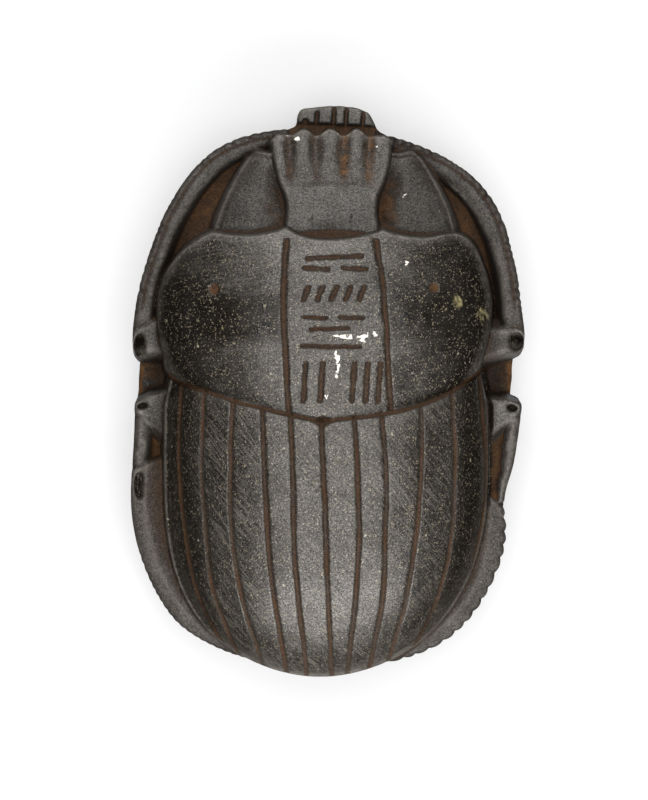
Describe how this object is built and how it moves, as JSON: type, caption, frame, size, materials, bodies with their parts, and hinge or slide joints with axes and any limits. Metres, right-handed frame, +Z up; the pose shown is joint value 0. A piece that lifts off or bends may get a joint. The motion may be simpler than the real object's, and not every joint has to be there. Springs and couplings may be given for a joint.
{
  "type": "scarab amulet",
  "caption": "Large stone scarab amulet: a beetle with ribbed wing cases, fluted head plate and folded legs, carved in one block on its own oval base slab.",
  "frame": {"origin": "centre of the bounding box in plan, at the flat underside", "axes": "+Z up out of the beetle's back, +Y towards the head, +X towards the beetle's right as seen from above with the head away"},
  "size_m": [0.0552, 0.0806, 0.03],
  "materials": {
    "stone": "worn dark grey stone with fine pale speckles, semi-matt, brown dirt left in the carved lines"
  },
  "bodies": {
    "root": {"scarab": "stone"}
  },
  "joints": []
}
